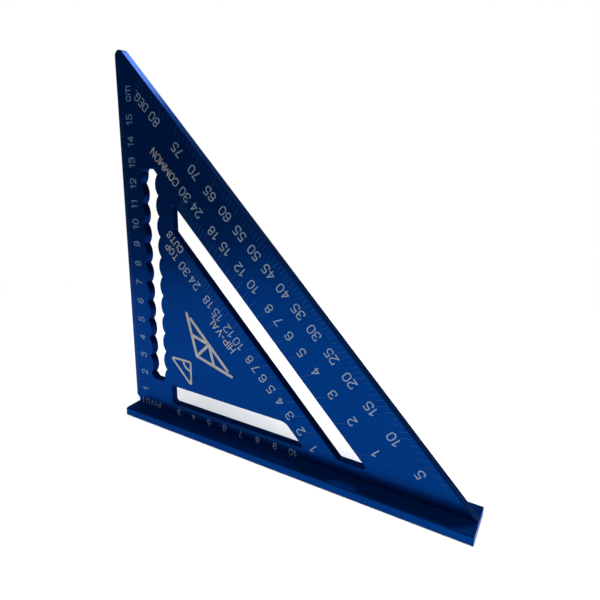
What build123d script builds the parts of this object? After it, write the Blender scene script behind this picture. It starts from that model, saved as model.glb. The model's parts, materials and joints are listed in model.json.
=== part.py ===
"""Rafter square: a triangular blade standing on a fence, with its etched scales."""
from build123d import *
import math
import os

# All sizes are in millimetres. A point on the blade is given as (u, v): u runs along
# the fence from the pivot, and v runs up the leg from the fence's top face.

# Driving dimensions of the metal
leg_length = 185.0
blade_thickness = 4.0
fence_width = 19.2
fence_thickness = 4.5
apex_radius = 2.8
blade_edge_break = 0.25
fence_edge_radius = 0.9
root_fillet = 0.3

# Pivot notch, cut into the foot of the leg
notch_depth = 1.7
notch_shoulder = 3.1
notch_height = 4.5

# Scribing slot along the leg, with a row of bumps on each side that meet in notches
scribe_pitch = 10.0
scribe_first_notch = 20.0
scribe_left = 12.1
scribe_width = 11.4
scribe_crest = 1.75
scribe_end = 2.4
scribe_corner = 2.2
scribe_clear = 23.6

# Slot along the fence and slot along the hypotenuse
slot_floor = 6.5
slot_width = 10.0
slot_corner = 1.6
fence_slot_start = 26.2
fence_slot_bend = 6.0
hip_slot_start = 31.9
hip_slot_inset = 28.8
slot_rib = 12.4

# Etched marks: thin layers that lie on the blade's front face
mark_thickness = 0.06
tick_width = 0.24
edge_gap = 0.7
stroke_share = 0.112
letter_gap = 0.13
fullest_bend = 0.98

# Rulers up the leg and along the fence, with ticks that are short, longer and longest
scale_pitch = 10.0
ticks_per_pitch = 10
leg_tick_lengths = (1.9, 2.7, 3.5)
leg_numeral_height = 4.1
leg_numeral_u = 7.2
leg_numeral_lean = -0.3
unit_clear = 11.5
unit_gap = 6.5
fence_tick_lengths = (0.9, 1.2, 1.5)
fence_numeral_height = 3.4
fence_numeral_v = 2.4
fence_numeral_lean = 0.7
fence_first = 3
pivot_legend_height = 3.3
pivot_legend_gap = 0.33
pivot_legend_u = 10.6

# Degree scale, and how far some of its numerals stand from their ticks towards the apex
numeral_height = 4.8
degree_step = 5
degree_last = 80
degree_ticks_from = 3
degree_ticks_to = 86
degree_tick_length = 3.2
degree_long_tick_length = 4.3
degree_clear = 0.8
degree_lean = {5: -1.5, 10: -1.5, 15: -1.3, 20: -0.6, 25: -0.6, 80: 3.7}

# Rafter scales: rise for each ten of run, and for each ten along the diagonal
rafter_steps = (1, 2, 3, 4, 5, 6, 7, 8, 10, 12, 15, 18, 24, 30)
common_rise = 10.0
common_tick_length = 5.1
common_ray_gap = 6.3
common_clear = 0.9
hip_rise = common_rise * math.sqrt(2)
hip_tick_length = 4.2
hip_clear = 0.3

# Legends, each placed from the last numeral of its scale
legend_height = 4.2
degree_legend_gap = 15.0
common_legend_gap = 16.6
hip_legend_at = 12
hip_legend_gap = 1.0
hip_legend_drop = 5.2
cuts_legend_height = 3.8
cuts_letter_gap = 0.18
top_legend_gap = 10.7
cuts_legend_gap = 12.5

# Pictograms, as shares of the free space between the inner slots and the hip legend
roof_half_share = 0.41
roof_rise_share = 0.235
roof_place_share = 0.75
roof_beam_share = 0.82
roof_pen = 1.5
emblem_side_share = 0.27
emblem_place_share = 0.37
emblem_arc_share = 0.38
emblem_pen = 1.1

root2 = math.sqrt(2)
fence_length = leg_length
hip_slot_inner = hip_slot_inset + slot_width
fence_slot_inset = hip_slot_inner + slot_rib
inner_corner = (scribe_left + scribe_width, slot_floor + slot_width)
# Each line of numerals stands clear of its ticks.
degree_inset = edge_gap + degree_long_tick_length + degree_clear + numeral_height / 2
common_numeral_gap = edge_gap + common_tick_length + common_clear + numeral_height / 2
hip_numeral_gap = edge_gap + hip_tick_length + hip_clear + numeral_height / 2


def line_sum(inset):
    """The value of u + v on the line that lies this far inside the hypotenuse."""
    return leg_length - inset * root2


def on_ray(slope, inset):
    """The point where the pivot's ray of this slope meets that line."""
    total = line_sum(inset)
    return total / (1 + slope), total * slope / (1 + slope)


def moved(point, along, outward=0.0):
    """The point moved along the hypotenuse towards the apex, and outward across it."""
    u, v = point
    return u + (outward - along) / root2, v + (outward + along) / root2


front = Plane((0, -blade_thickness / 2, 0), x_dir=(1, 0, 0), z_dir=(0, -1, 0))
upright = (0, 0, 1)
to_pivot = (-1, 0, 0)
to_apex = (-1, 0, 1)


def face_plane(point, reading):
    """A plane on the front face at (u, v), whose X is the direction of reading."""
    u, v = point
    return Plane((u, -blade_thickness / 2, v), x_dir=reading, z_dir=(0, -1, 0))


# The metal

def scribing_slot():
    """Two rows of round bumps that meet in sharp notches. Each half is the other turned round."""
    half = scribe_pitch / 2
    highest = line_sum(scribe_clear) - inner_corner[0] - scribe_end
    bumps = int((highest - scribe_first_notch - half) / scribe_pitch)
    rise = bumps * scribe_pitch
    bump = ThreePointArc((0, 0), (scribe_crest, half), (0, scribe_pitch)).edge()
    edges = [Pos(0, number * scribe_pitch) * bump for number in range(bumps)]
    # The end is half a bump, a round corner and a straight run to the last notch of the other row.
    edges.append(Pos(0, rise) * bump.trim(0, 0.5))
    crest = (scribe_crest, rise + half)
    corner = (scribe_crest, rise + half + scribe_end)
    shoulder = (scribe_width - scribe_corner, rise + half + scribe_end)
    edges += FilletPolyline(crest, corner, shoulder, radius=scribe_corner).edges()
    edges += Line(shoulder, (scribe_width, rise + half)).edges()
    turned = Pos(scribe_width, rise + half) * Rot(0, 0, 180)
    edges += [turned * edge for edge in edges]
    return Pos(scribe_left, scribe_first_notch) * make_face(Wire.combine(edges)[0].edges())


def fence_slot():
    """A slot over the fence whose far end is parallel to the hypotenuse."""
    total = line_sum(fence_slot_inset)
    top = slot_floor + slot_width
    points = [(fence_slot_start, slot_floor), (total - slot_floor, slot_floor),
              (total - top, top), (fence_slot_start, top)]
    radii = (slot_corner, slot_corner / 2, fence_slot_bend, slot_corner)
    return make_face(FilletPolyline(*points, radius=radii, close=True))


def hypotenuse_slot():
    """A slot parallel to the hypotenuse, with an upright end and a level end."""
    outer = line_sum(hip_slot_inset)
    inner = line_sum(hip_slot_inner)
    points = [(inner - slot_floor, slot_floor), (outer - slot_floor, slot_floor),
              (hip_slot_start, outer - hip_slot_start), (hip_slot_start, inner - hip_slot_start)]
    radii = (slot_corner, slot_corner / 2, slot_corner / 2, slot_corner)
    return make_face(FilletPolyline(*points, radius=radii, close=True))


def make_blade():
    """The triangle, with a rounded apex, the pivot notch and its three slots."""
    points = [(notch_depth, 0), (leg_length, 0), (0, leg_length), (0, notch_height),
              (notch_depth, notch_shoulder)]
    radii = (0, 0, apex_radius, notch_depth / 3, notch_depth / 3)
    outline = make_face(FilletPolyline(*points, radius=radii, close=True))
    outline = outline - fence_slot() - hypotenuse_slot()
    blade = extrude(front * outline, amount=-blade_thickness)
    rims = blade.faces().filter_by(Axis.Y).edges()
    above_fence = rims.filter_by(lambda edge: edge.center().Z > blade_edge_break)
    blade = chamfer(above_fence, blade_edge_break)
    return blade - extrude(front * scribing_slot(), amount=-blade_thickness)


def make_fence():
    """The flange: a flat bar with rounded long edges and a small fillet at each root of the blade."""
    width = fence_width / 2
    points = [(-width, -fence_thickness), (width, -fence_thickness), (width, 0), (-width, 0)]
    profile = make_face(FilletPolyline(*points, radius=fence_edge_radius, close=True))
    for side in (-1, 1):
        root = side * blade_thickness / 2
        foot = root + side * root_fillet
        arc = CenterArc((foot, root_fillet), root_fillet, 180 if side > 0 else 270, 90)
        sides = Polyline((root, root_fillet), (root, 0), (foot, 0))
        profile += make_face(arc.edges() + sides.edges())
    return extrude(Plane.YZ * profile, amount=fence_length)


# Etched characters: each has a width for its height and strokes in a unit box. A stroke's
# own corners are as round as they can be, and strokes that meet end to end make a sharp corner.

glyphs = {
    "0": (0.64, [[(0, 0), (1, 0), (1, 1), (0, 1), (0, 0)]]),
    "1": (0.5, [[(0.1, 0.76), (0.75, 1)], [(0.75, 1), (0.75, 0)]]),
    "2": (0.64, [[(0, 0.74), (0, 1), (1, 1), (1, 0.55), (0, 0)], [(0, 0), (1, 0)]]),
    "3": (0.64, [[(0, 0.78), (0, 1), (0.95, 1), (0.95, 0.55), (0.35, 0.55)],
                 [(0.35, 0.55), (1, 0.55), (1, 0), (0, 0), (0, 0.24)]]),
    "4": (0.66, [[(0.7, 0), (0.7, 1)], [(0.7, 1), (0, 0.27)], [(0, 0.27), (1, 0.27)]]),
    "5": (0.64, [[(0.92, 1), (0.1, 1)], [(0.1, 1), (0.05, 0.6)],
                 [(0.05, 0.6), (1, 0.6), (1, 0), (0, 0), (0, 0.22)]]),
    "6": (0.64, [[(0, 0), (1, 0), (1, 0.58), (0, 0.58), (0, 0)],
                 [(0, 0.3), (0, 1), (0.95, 1), (0.95, 0.8)]]),
    "7": (0.62, [[(0, 1), (1, 1)], [(1, 1), (0.3, 0)]]),
    "8": (0.64, [[(0, 0), (1, 0), (1, 0.54), (0, 0.54), (0, 0)],
                 [(0.07, 0.54), (0.93, 0.54), (0.93, 1), (0.07, 1), (0.07, 0.54)]]),
    "9": (0.64, [[(0, 0.42), (1, 0.42), (1, 1), (0, 1), (0, 0.42)],
                 [(1, 0.7), (1, 0), (0.05, 0), (0.05, 0.2)]]),
    "A": (0.74, [[(0, 0), (0.5, 1)], [(0.5, 1), (1, 0)], [(0.2, 0.3), (0.8, 0.3)]]),
    "C": (0.66, [[(1, 0.76), (1, 1), (0, 1), (0, 0), (1, 0), (1, 0.24)]]),
    "D": (0.66, [[(0, 1), (0, 0)], [(0, 0), (1, 0), (1, 1), (0, 1)]]),
    "E": (0.56, [[(1, 1), (0, 1)], [(0, 1), (0, 0)], [(0, 0), (1, 0)], [(0, 0.52), (0.85, 0.52)]]),
    "G": (0.68, [[(1, 0.78), (1, 1), (0, 1), (0, 0), (1, 0), (1, 0.46)], [(1, 0.46), (0.55, 0.46)]]),
    "H": (0.66, [[(0, 0), (0, 1)], [(1, 0), (1, 1)], [(0, 0.52), (1, 0.52)]]),
    "I": (0.16, [[(0.5, 0), (0.5, 1)]]),
    "L": (0.56, [[(0, 1), (0, 0)], [(0, 0), (1, 0)]]),
    "M": (0.84, [[(0, 0), (0, 1)], [(0, 1), (0.5, 0.2)], [(0.5, 0.2), (1, 1)], [(1, 1), (1, 0)]]),
    "N": (0.68, [[(0, 0), (0, 1)], [(0, 1), (1, 0)], [(1, 0), (1, 1)]]),
    "O": (0.72, [[(0, 0), (1, 0), (1, 1), (0, 1), (0, 0)]]),
    "P": (0.62, [[(0, 0), (0, 1)], [(0, 1), (1, 1), (1, 0.45), (0, 0.45)]]),
    "S": (0.62, [[(1, 0.76), (1, 1), (0, 1), (0, 0.53), (1, 0.53), (1, 0), (0, 0), (0, 0.24)]]),
    "T": (0.62, [[(0, 1), (1, 1)], [(0.5, 0), (0.5, 1)]]),
    "U": (0.66, [[(0, 1), (0, 0), (1, 0), (1, 1)]]),
    "V": (0.72, [[(0, 1), (0.5, 0)], [(0.5, 0), (1, 1)]]),
    "c": (0.56, [[(1, 0.58), (1, 0.78), (0, 0.78), (0, 0), (1, 0), (1, 0.2)]]),
    "m": (1.0, [[(0, 0), (0, 0.78), (0.5, 0.78), (0.5, 0)],
                [(0.5, 0.6), (0.5, 0.78), (1, 0.78), (1, 0)]]),
    "-": (0.4, [[(0, 0.48), (1, 0.48)]]),
    ".": (0.16, [[(0.5, 0), (0.5, 0.03)]]),
}


def corner_radii(points, closed, largest):
    """A radius for each corner of a stroke, as round as its two runs allow."""
    ring = points[:-1] if closed else points
    count = len(ring)
    corners = range(count) if closed else range(1, count - 1)
    radii = []
    for index in corners:
        corner = Vector(ring[index])
        before = Vector(ring[index - 1]) - corner
        after = Vector(ring[(index + 1) % count]) - corner
        half_turn = math.radians(180 - before.get_angle(after)) / 2
        reach = min(before.length, after.length) / 2 * fullest_bend
        radii.append(min(largest, reach / math.tan(half_turn)))
    return radii


def stroke(points, pen, roundness):
    """One pen stroke of constant width along straight runs and round corners."""
    if len(points) == 2:
        start, end = Vector(points[0]), Vector(points[1])
        run = end - start
        angle = math.degrees(math.atan2(run.Y, run.X))
        middle = (start + end) * 0.5
        return Pos(middle.X, middle.Y) * Rot(0, 0, angle) * SlotCenterToCenter(run.length, pen)
    closed = points[0] == points[-1]
    radii = corner_radii(points, closed, roundness)
    path = FilletPolyline(*(points[:-1] if closed else points), radius=radii, close=closed).wire()
    if closed:
        outer = make_face(path.offset_2d(pen / 2, side=Side.BOTH).edges())
        inner = make_face(path.offset_2d(-pen / 2, side=Side.BOTH).edges())
        return outer - inner
    return make_face(path.offset_2d(pen / 2).edges())


made_glyphs = {}


def glyph(character, height):
    """One character as a thin solid, made once for each height."""
    if (character, height) not in made_glyphs:
        width, strokes = glyphs[character]
        pen = height * stroke_share
        span = width * height - pen
        rise = height - pen
        roundness = span / 2 * fullest_bend
        outline = Sketch()
        for points in strokes:
            scaled = [(x * span - span / 2, y * rise - rise / 2) for x, y in points]
            outline += stroke(scaled, pen, roundness)
        made_glyphs[character, height] = extrude(outline, amount=mark_thickness)
    return made_glyphs[character, height]


def written(text, height, point, reading, gap=letter_gap):
    """A line of characters centred at (u, v), as a list of thin solids."""
    widths = [glyphs[character][0] * height for character in text]
    total = sum(widths) + gap * height * (len(text) - 1)
    place = face_plane(point, reading)
    start = -total / 2
    solids = []
    for character, width in zip(text, widths):
        solids += (place * Pos(start + width / 2, 0) * glyph(character, height)).solids()
        start += width + gap * height
    return solids


def tick(point, direction, length):
    """A tick of this length that starts at (u, v) and runs along (du, dv)."""
    du, dv = direction
    place = face_plane(point, (du, 0, dv))
    bar = Box(length, tick_width, mark_thickness)
    return (place * Pos(length / 2, 0, mark_thickness / 2) * bar).solids()


def radial_tick(slope, near_inset, far_inset):
    """A tick on the pivot's ray, from one line inside the hypotenuse to another."""
    start = on_ray(slope, near_inset)
    end = on_ray(slope, far_inset)
    run = (end[0] - start[0], end[1] - start[1])
    return tick(start, run, math.hypot(*run))


# The scales

def ruler_tick_length(step, lengths):
    """Every tenth tick of a ruler is the longest, and every fifth is longer."""
    short, longer, longest = lengths
    if step % 10 == 0:
        return longest
    return longer if step % 5 == 0 else short


def leg_scale():
    """Millimetre ticks on the leg's edge, with numerals in centimetres."""
    unit_v = line_sum(unit_clear) - leg_numeral_u
    last = int((unit_v - unit_gap) / scale_pitch)
    ticks = []
    for step in range(ticks_per_pitch, last * ticks_per_pitch + 1):
        length = ruler_tick_length(step, leg_tick_lengths)
        ticks += tick((edge_gap, step * scale_pitch / ticks_per_pitch), (1, 0), length)
    numerals = []
    for number in range(1, last + 1):
        point = (leg_numeral_u, number * scale_pitch + leg_numeral_lean)
        numerals += written(str(number), leg_numeral_height, point, upright)
    unit = written("cm", leg_numeral_height, (leg_numeral_u, unit_v), upright)
    return ticks, numerals, unit


def fence_scale():
    """Millimetre ticks under the fence's slot, with numerals upside down below them."""
    last = int((line_sum(fence_slot_inset) - slot_floor) / scale_pitch)
    ticks = []
    for step in range(fence_first * ticks_per_pitch, last * ticks_per_pitch + 1):
        length = ruler_tick_length(step, fence_tick_lengths)
        ticks += tick((step * scale_pitch / ticks_per_pitch, slot_floor - edge_gap), (0, -1), length)
    numerals = []
    for number in range(fence_first, last + 1):
        point = (number * scale_pitch + fence_numeral_lean, fence_numeral_v)
        numerals += written(str(number), fence_numeral_height, point, to_pivot)
    return ticks, numerals


def degree_place(degree):
    """The point on the degree scale's line of numerals that lies on this degree's ray."""
    return on_ray(math.tan(math.radians(degree)), degree_inset)


def degree_scale():
    """One tick for each degree at the hypotenuse, numbered every five degrees."""
    ticks = []
    for degree in range(degree_ticks_from, degree_ticks_to + 1):
        length = degree_long_tick_length if degree % degree_step == 0 else degree_tick_length
        ticks += radial_tick(math.tan(math.radians(degree)), edge_gap, edge_gap + length)
    numerals = []
    for degree in range(degree_step, degree_last + 1, degree_step):
        point = moved(degree_place(degree), degree_lean.get(degree, 0))
        numerals += written(str(degree), numeral_height, point, to_apex)
    return ticks, numerals


def common_place(number):
    """The centre of a common rafter's numeral, which stands outward of its ray."""
    spot = on_ray(number / common_rise, hip_slot_inset - common_ray_gap)
    return moved(spot, 0, common_numeral_gap - common_ray_gap)


def hip_place(number):
    """The centre of a hip or valley rafter's numeral."""
    return on_ray(number / hip_rise, hip_slot_inner + hip_numeral_gap)


def rafter_scale(rise, place, near_inset, far_inset):
    """Ticks for every rise up to the largest, numbered at the usual steps."""
    ticks = []
    for number in range(1, rafter_steps[-1] + 1):
        ticks += radial_tick(number / rise, near_inset, far_inset)
    numerals = []
    for number in rafter_steps:
        numerals += written(str(number), numeral_height, place(number), to_apex)
    return ticks, numerals


def cuts_legend():
    """TOP CUTS on two lines, above the hip and valley numerals."""
    last = hip_place(rafter_steps[-1])
    top_place = moved(last, top_legend_gap)
    cuts_place = moved(last, cuts_legend_gap, hip_legend_drop)
    top = written("TOP", cuts_legend_height, top_place, to_apex, cuts_letter_gap)
    return top + written("CUTS", cuts_legend_height, cuts_place, to_apex, cuts_letter_gap)


def inner_room():
    """The height of the free triangle between the inner corner and the hip legend."""
    inset = hip_slot_inner + hip_numeral_gap + hip_legend_drop + legend_height
    return (line_sum(inset) - sum(inner_corner)) / root2


def drawn(outline, share, turn=0.0):
    """A flat outline as thin solids, this share of the free space out from the inner corner."""
    place = face_plane(moved(inner_corner, 0, share * inner_room()), to_apex)
    return (place * Rot(0, 0, turn) * extrude(outline, amount=mark_thickness)).solids()


def roof_pictogram():
    """A plain roof truss: two rafters, a tie beam, a king post and two struts."""
    half = roof_half_share * inner_room()
    rise = roof_rise_share * inner_room()
    beam = half * roof_beam_share
    lines = [[(-half, 0), (0, rise), (half, 0)], [(-beam, 0), (beam, 0)],
             [(0, 0), (0, rise)], [(0, 0), (-half / 2, rise / 2)], [(0, 0), (half / 2, rise / 2)]]
    outline = Sketch()
    for points in lines:
        outline += Pos(0, -rise / 2) * stroke(points, roof_pen, roof_pen / 2)
    return drawn(outline, roof_place_share)


def square_pictogram():
    """A small set square with a quarter arc inside its right angle."""
    side = emblem_side_share * inner_room()
    edge = stroke([(0, 0), (side, 0), (0, side), (0, 0)], emblem_pen, emblem_pen / 2)
    arc = Wire([CenterArc((0, 0), side * emblem_arc_share, 0, 90).edge()]).offset_2d(emblem_pen / 2)
    outline = Pos(-side / 3, -side / 3) * (edge + make_face(arc.edges()))
    return drawn(outline, emblem_place_share, 45)


leg_ticks, leg_numerals, leg_unit = leg_scale()
fence_ticks, fence_numerals = fence_scale()
degree_ticks, degree_numerals = degree_scale()
common_ticks, common_numerals = rafter_scale(common_rise, common_place, hip_slot_inset - edge_gap,
                                             hip_slot_inset - edge_gap - common_tick_length)
hip_ticks, hip_numerals = rafter_scale(hip_rise, hip_place, hip_slot_inner + edge_gap,
                                       hip_slot_inner + edge_gap + hip_tick_length)
pivot_place = (pivot_legend_u, fence_numeral_v)
degree_legend_place = moved(degree_place(degree_last), degree_legend_gap)
common_legend_place = moved(common_place(rafter_steps[-1]), common_legend_gap)
hip_legend_place = moved(hip_place(hip_legend_at), hip_legend_gap, -hip_legend_drop)

nodes = {
    "blade": make_blade().solids(),
    "fence": make_fence().solids(),
    "leg_ticks": leg_ticks,
    "leg_numerals": leg_numerals,
    "leg_unit_mark": leg_unit,
    "fence_ticks": fence_ticks,
    "fence_numerals": fence_numerals,
    "pivot_legend": written("PIVOT", pivot_legend_height, pivot_place, to_pivot, pivot_legend_gap),
    "degree_ticks": degree_ticks,
    "degree_numerals": degree_numerals,
    "degree_legend": written("DEG.", legend_height, degree_legend_place, to_apex),
    "common_ticks": common_ticks,
    "common_numerals": common_numerals,
    "common_legend": written("COMMON", legend_height, common_legend_place, to_apex),
    "hip_valley_ticks": hip_ticks,
    "hip_valley_numerals": hip_numerals,
    "hip_valley_legend": written("HIP-VAL", legend_height, hip_legend_place, to_apex),
    "top_cuts_legend": cuts_legend(),
    "roof_pictogram": roof_pictogram(),
    "square_pictogram": square_pictogram(),
}

# The origin is the middle of the fence's underside.
os.makedirs("parts", exist_ok=True)
placing = Pos(-fence_length / 2, 0, fence_thickness)
for name, solids in nodes.items():
    export_step(placing * Compound(children=list(solids)), f"parts/{name}.step")
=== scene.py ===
import bpy
import json
import math
import numpy as np
from mathutils import Matrix, Vector


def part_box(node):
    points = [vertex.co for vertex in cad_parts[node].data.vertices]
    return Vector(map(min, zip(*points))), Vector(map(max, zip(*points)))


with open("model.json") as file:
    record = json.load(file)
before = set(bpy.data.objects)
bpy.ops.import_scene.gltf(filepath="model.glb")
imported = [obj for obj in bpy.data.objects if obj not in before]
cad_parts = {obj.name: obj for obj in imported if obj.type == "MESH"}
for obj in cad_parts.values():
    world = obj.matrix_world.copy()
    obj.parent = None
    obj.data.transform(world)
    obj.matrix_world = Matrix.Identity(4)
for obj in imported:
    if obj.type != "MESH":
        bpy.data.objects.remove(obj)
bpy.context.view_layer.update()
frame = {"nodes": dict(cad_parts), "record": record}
print("frame loaded:", len(frame["nodes"]), "nodes")

# Places on the tool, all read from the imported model
bladeLow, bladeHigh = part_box("blade")
slantedEdge = bladeHigh.x + bladeLow.z                 # x + z along the slanted edge


# A socket of the node tree that can be added, subtracted and multiplied as a number
class Value:
    def __init__(self, nodes, socket):
        self.nodes = nodes
        self.socket = socket

    def maths(self, operation, *others, swapped=False):
        terms = [self.socket, *map(plain, others)]
        if swapped:
            terms.reverse()
        return self.nodes.node("ShaderNodeMath", {"operation": operation}, dict(enumerate(terms)))

    def __add__(self, other):
        return self.maths("ADD", other)

    def __radd__(self, other):
        return self.maths("ADD", other)

    def __sub__(self, other):
        return self.maths("SUBTRACT", other)

    def __rsub__(self, other):
        return self.maths("SUBTRACT", other, swapped=True)

    def __mul__(self, other):
        return self.maths("MULTIPLY", other)

    def __rmul__(self, other):
        return self.maths("MULTIPLY", other)


def plain(item):
    return item.socket if isinstance(item, Value) else item


# A node tree, of a material or of the world, and the one way nodes are made in it
class Nodes:
    def __init__(self, tree):
        self.tree = tree

    def node(self, kind, settings, inputs, output=0):
        made = self.tree.nodes.new(kind)
        for key, setting in settings.items():
            setattr(made, key, setting)
        for key, item in inputs.items():
            self.feed(made.inputs[key], item)
        return Value(self, made.outputs[output])

    def feed(self, socket, item):
        item = plain(item)
        if isinstance(item, bpy.types.NodeSocket):
            self.tree.links.new(item, socket)
        else:
            socket.default_value = item

    def along(self, vector, axis):
        return self.node("ShaderNodeSeparateXYZ", {}, {0: vector}, axis)

    def between(self, value, low, high, newLow=0.0, newHigh=1.0, curve="LINEAR"):
        return self.node("ShaderNodeMapRange", {"clamp": True, "interpolation_type": curve},
                         {"Value": value, "From Min": low, "From Max": high,
                          "To Min": newLow, "To Max": newHigh})


# One material, with what its metal or paint shader is given
class Finish(Nodes):
    def __init__(self, name):
        self.material = bpy.data.materials.new(name)
        self.material.use_nodes = True
        super().__init__(self.material.node_tree)
        self.shader = self.tree.nodes["Principled BSDF"]
        self.objectPoint = self.node("ShaderNodeTexCoord", {}, {}, "Object")

    def set(self, **inputs):                             # spaces in a socket's name are written as _
        for key, item in inputs.items():
            self.feed(self.shader.inputs[key.replace("_", " ")], item)

    def noise(self, scale, detail=3.0, roughness=0.5, stretch=(1.0, 1.0, 1.0)):
        point = self.node("ShaderNodeMapping", {"vector_type": "POINT"},
                          {"Vector": self.objectPoint, "Scale": stretch})
        return self.node("ShaderNodeTexNoise", {"noise_dimensions": "3D"},
                         {"Vector": point, "Scale": scale, "Detail": detail, "Roughness": roughness},
                         "Fac")

    def blend(self, factor, first, second):              # 6, 7 and 2 are the node's colour sockets
        return self.node("ShaderNodeMix", {"data_type": "RGBA"}, {0: factor, 6: first, 7: second}, 2)

    def bump(self, height, distance, strength, **below):
        return self.node("ShaderNodeBump", {},
                         {"Height": height, "Distance": distance, "Strength": strength, **below})


anodising = {
    "deep": (0.0, 0.024, 0.140, 1.0),      # thick dye, in the hollows of the drawing lines
    "full": (0.0, 0.032, 0.174, 1.0),      # dye over most of the metal
    "thin": (0.0, 0.041, 0.204, 1.0),      # dye where a hand has polished it
    "wallShade": (0.0, 0.009, 0.066, 1.0),    # painted shade on the slot walls, a darker dye colour that stands in for their shade
    "sawn": (0.0, 0.030, 0.155, 1.0),      # dye on the sawn slanted edge
    "metal": 0.88,                         # the rest is the dyed oxide's own colour
    "clearGloss": 0.1,
    "glance": (0.35, 0.56, 1.0, 1.0),      # tint of what it reflects at a glancing angle
    "sealed": 0.20,                        # clear seal left on the slanted edge
    "sealRoughness": 0.17,
    "sealIndex": 1.6,
    # Patterns, sized in repeats per metre: satin grain, extrusion lines along X, and handling
    "grain": {"scale": 2600.0, "detail": 2.0},
    "lines": {"scale": 700.0, "roughness": 0.6, "stretch": (0.03, 1.0, 1.0)},
    "cloud": {"scale": 9.0, "detail": 2.0, "roughness": 0.45},
    "lineShare": 0.75,                     # how much of the dye's change follows the lines
    "dyeFrom": 0.25,
    "dyeTo": 0.75,
    "handledFrom": 0.50,
    "handledTo": 0.75,
    "handledMost": 0.35,
    "faceTurn": 0.60,                      # sideways part of the normal where a face ends
    "edgeTurn": 0.30,                      # and where a side wall, with its painted shade, is reached
    "patchFrom": 0.2,                      # grain that leaves the painted wall shade a little paler in patches
    "patchTo": 0.8,
    "patchLeast": 0.85,
    "sawnFrom": 0.006,                     # metres in from the slanted edge, along x + z
    "sawnTo": 0.003,
    "roughness": 0.30,
    "grainRoughness": 0.08,
    "lineRoughness": 0.06,
    "cloudRoughness": 0.04,
    "grainDepth": 0.0000015,
    "lineDepth": 0.000003,
    "relief": 0.4,
}


def wallShadeMask(finish, grain):
    # Mask for painted shade: where the surface faces along the blade and not to its front or back (the
    # slanted edge is given its own colour below)
    normal = finish.node("ShaderNodeNewGeometry", {}, {}, "True Normal")
    sideways = finish.along(normal, "Y").maths("ABSOLUTE")
    patch = finish.between(grain, anodising["patchFrom"], anodising["patchTo"], anodising["patchLeast"])
    return finish.between(sideways, anodising["faceTurn"], anodising["edgeTurn"]) * patch


def sawnEdge(finish):
    reach = finish.along(finish.objectPoint, "X") + finish.along(finish.objectPoint, "Z")
    return finish.between(reach, slantedEdge - anodising["sawnFrom"], slantedEdge - anodising["sawnTo"])


def anodisedMetal(name, wallShadeAndSeal):
    # Extrusion lines and a fine grain vary the dye, and the side walls get a darker colour as painted
    # shade.
    finish = Finish(name)
    grain = finish.noise(**anodising["grain"])
    lines = finish.noise(**anodising["lines"])
    cloud = finish.noise(**anodising["cloud"])
    streaks = lines * anodising["lineShare"] + grain * (1 - anodising["lineShare"])
    depth = finish.between(streaks, anodising["dyeFrom"], anodising["dyeTo"])
    colour = finish.blend(depth, anodising["deep"], anodising["full"])
    handled = finish.between(cloud, anodising["handledFrom"], anodising["handledTo"],
                             0.0, anodising["handledMost"])
    colour = finish.blend(handled, colour, anodising["thin"])
    # Painted shade darkens the slot walls; the slanted edge keeps a dye colour near the face's and gets
    # a thin clear seal
    if wallShadeAndSeal:
        wallShade = wallShadeMask(finish, grain)
        sawn = sawnEdge(finish)
        edgeShadeColour = finish.blend(sawn, anodising["wallShade"], anodising["sawn"])
        colour = finish.blend(wallShade, colour, edgeShadeColour)
        finish.set(Coat_Weight=wallShade * sawn * anodising["sealed"],
                   Coat_Roughness=anodising["sealRoughness"], Coat_IOR=anodising["sealIndex"])
    uneven = ((grain - 0.5) * anodising["grainRoughness"] + (lines - 0.5) * anodising["lineRoughness"]
              + (cloud - 0.5) * anodising["cloudRoughness"])
    fine = finish.bump(grain, anodising["grainDepth"], anodising["relief"])
    finish.set(Base_Color=colour, Metallic=anodising["metal"], Roughness=anodising["roughness"] + uneven,
               Specular_Tint=anodising["glance"], Specular_IOR_Level=anodising["clearGloss"],
               Normal=finish.bump(lines, anodising["lineDepth"], anodising["relief"], Normal=fine))
    return finish.material


etching = {
    "lines": {"light": (0.018, 0.070, 0.22, 1.0), "dark": (0.005, 0.045, 0.18, 1.0), "metal": 0.8},
    "ruler": {"light": (0.20, 0.28, 0.41, 1.0), "dark": (0.11, 0.18, 0.31, 1.0), "metal": 0.6},
    "numerals": {"light": (0.25, 0.31, 0.39, 1.0), "dark": (0.155, 0.22, 0.32, 1.0), "metal": 0.5},
    "legend": {"light": (0.42, 0.40, 0.36, 1.0), "dark": (0.27, 0.28, 0.29, 1.0), "metal": 0.5},
    "passes": {"scale": 3200.0, "detail": 2.0, "roughness": 0.6, "stretch": (1.0, 1.0, 0.15)},
    "blotch": {"scale": 420.0},
    "passShare": 0.5,                      # how much of the burn's change follows the laser's passes
    "burnFrom": 0.36,
    "burnTo": 0.62,
    "roughness": 0.5,
    "passRoughness": 0.2,
    "passDepth": 0.00001,
    "relief": 0.6,
}


def etchedMark(name, tone):
    finish = Finish(name)
    passes = finish.noise(**etching["passes"])
    blotch = finish.noise(**etching["blotch"])
    burn = passes * etching["passShare"] + blotch * (1 - etching["passShare"])
    depth = finish.between(burn, etching["burnFrom"], etching["burnTo"])
    finish.set(Base_Color=finish.blend(depth, tone["dark"], tone["light"]), Metallic=tone["metal"],
               Roughness=etching["roughness"] + (passes - 0.5) * etching["passRoughness"],
               Normal=finish.bump(passes, etching["passDepth"], etching["relief"]))
    return finish.material


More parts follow.
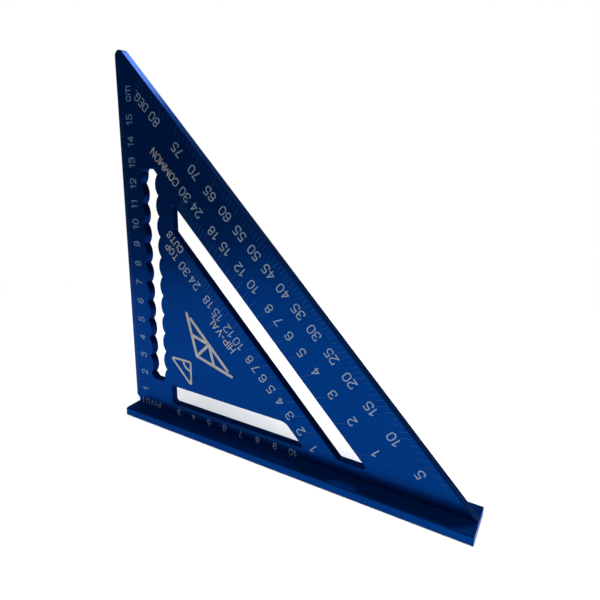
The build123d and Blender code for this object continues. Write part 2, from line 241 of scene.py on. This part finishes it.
finishOf = {
    "anodised_blade": anodisedMetal("blade_anodising_wall_shade", wallShadeAndSeal=True),
    "anodised_fence": anodisedMetal("fence_anodising", wallShadeAndSeal=False),
    "etched_lines": etchedMark("etched_line", etching["lines"]),
    "etched_ruler_numerals": etchedMark("etched_ruler", etching["ruler"]),
    "etched_numerals": etchedMark("etched_numeral", etching["numerals"]),
    "etched_legend": etchedMark("etched_legend", etching["legend"]),
}
for part in frame["record"]["subparts"]:
    shown = frame["nodes"][part["node"]]
    shown.data.materials.clear()
    shown.data.materials.append(finishOf[part["material_slot"]])
print("finishes set")


studioFloor = {
    "radius": 0.36,
    "pale": (0.95, 0.95, 0.96, 1.0),
    "mottled": (0.93575, 0.93575, 0.9456, 1.0),
    "mottle": {"scale": 60.0, "detail": 2.0},
    "roughness": 0.6,
    "mottleRoughness": 0.1,
}


def discFloor(radius, rings=2, segments=64):
    # A flat disc: point = (r cos t, r sin t, 0) on a grid of radius and angle
    radii = np.linspace(0.0, radius, rings + 1)[1:]
    turn = np.linspace(0.0, 2 * math.pi, segments, endpoint=False)
    r, t = np.meshgrid(radii, turn, indexing="ij")
    ringPoints = np.stack([r * np.cos(t), r * np.sin(t), np.zeros_like(r)], -1).reshape(-1, 3)
    points = np.vstack([[0.0, 0.0, 0.0], ringPoints])
    step = np.arange(segments)
    following = (step + 1) % segments
    faces = [(0, 1 + a, 1 + b) for a, b in zip(step, following)]
    for ring in range(rings - 1):
        inner = 1 + ring * segments
        outer = inner + segments
        faces += [(inner + a, outer + a, outer + b, inner + b) for a, b in zip(step, following)]
    mesh = bpy.data.meshes.new("floor")
    mesh.from_pydata(points.tolist(), [], faces)
    floor = bpy.data.objects.new("floor", mesh)
    bpy.context.scene.collection.objects.link(floor)
    return floor


def floorPaint():
    finish = Finish("floor_paint")
    mottle = finish.noise(**studioFloor["mottle"])
    finish.set(Base_Color=finish.blend(mottle, studioFloor["mottled"], studioFloor["pale"]),
               Roughness=studioFloor["roughness"] + mottle * studioFloor["mottleRoughness"])
    return finish.material


floor = discFloor(studioFloor["radius"])
floor.data.materials.append(floorPaint())
print("floor laid")


room = {
    "white": (1.0, 1.0, 1.0, 1.0),         # what the camera sees round the floor
    "horizon": 0.12,                       # brightness of the room at eye level
    "overhead": 0.22,                      # brightness of the room above
    "overheadFrom": 0.55,                  # height on the dome, 0 to 1, where it starts to brighten
    "overheadTo": 0.90,
}


def softWorld():
    # Light comes from a soft dome, dim at eye level and bright overhead. The camera sees plain white.
    world = bpy.data.worlds.new("studio")
    world.use_nodes = True
    bpy.context.scene.world = world
    sky = Nodes(world.node_tree)
    rise = sky.along(sky.node("ShaderNodeTexCoord", {}, {}, "Generated"), "Z")
    strength = sky.between(rise, room["overheadFrom"], room["overheadTo"],
                           room["horizon"], room["overhead"], "SMOOTHSTEP")
    dome = sky.node("ShaderNodeBackground", {}, {"Color": room["white"], "Strength": strength})
    backdrop = sky.node("ShaderNodeBackground", {}, {"Color": room["white"]})
    seen = sky.node("ShaderNodeLightPath", {}, {}, "Is Camera Ray")
    choice = sky.node("ShaderNodeMixShader", {}, {0: seen, 1: dome, 2: backdrop})
    sky.feed(sky.tree.nodes["World Output"].inputs["Surface"], choice)


fillLamp = {                               # the large softbox over the front
    "place": (0.48, -0.3, 1.5),
    "target": (0.0, 0.0, 0.0),
    "size": 1.6,
    "power": 43.0,
    "colour": (1.0, 1.0, 1.0),
    "inGloss": False,
}
edgeLamp = {                               # the small softbox high behind, which lights the slanted edge
    "place": (-0.24, 0.78, 1.14),
    "target": (-0.085, 0.0, 0.18),
    "size": 0.3,
    "power": 2.2,
    "colour": (0.50, 0.80, 1.0),
    "inGloss": True,
}


def softbox(name, lamp):
    light = bpy.data.lights.new(name, "AREA")
    light.shape = "DISK"
    light.size = lamp["size"]
    light.energy = lamp["power"]
    light.color = lamp["colour"]
    holder = bpy.data.objects.new(name, light)
    holder.location = lamp["place"]
    aim = Vector(lamp["target"]) - Vector(lamp["place"])
    holder.rotation_euler = aim.to_track_quat("-Z", "Y").to_euler()
    holder.visible_glossy = lamp["inGloss"]
    bpy.context.scene.collection.objects.link(holder)


softWorld()
softbox("fill", fillLamp)
softbox("edgeLight", edgeLamp)
print("studio lit")


viewpoint = {
    "place": (0.11211, -0.17550, 0.14571),    # metres, from the middle of the fence's underside
    "heading": 27.33,                         # degrees the view is turned towards -X
    "tilt": 13.95,                            # degrees below the horizon
    "roll": 1.79,
    "lens": 29.739,                           # millimetres, on the sensor width below
    "sensor": 36.0,
    "shift": (-0.0436, -0.0539),
    "nearest": 0.01,
}


def makeCamera():
    heading, tilt, roll = (math.radians(viewpoint[key]) for key in ("heading", "tilt", "roll"))
    camera = bpy.data.cameras.new("camera")
    camera.lens = viewpoint["lens"]
    camera.sensor_width = viewpoint["sensor"]
    camera.shift_x, camera.shift_y = viewpoint["shift"]
    camera.clip_start = viewpoint["nearest"]
    holder = bpy.data.objects.new("camera", camera)
    turn = Matrix.Rotation(heading, 4, "Z") @ Matrix.Rotation(math.pi / 2 - tilt, 4, "X")
    holder.matrix_world = Matrix.Translation(viewpoint["place"]) @ turn @ Matrix.Rotation(roll, 4, "Z")
    bpy.context.scene.collection.objects.link(holder)
    bpy.context.scene.camera = holder


makeCamera()
bpy.context.scene.view_settings.view_transform = "Standard"
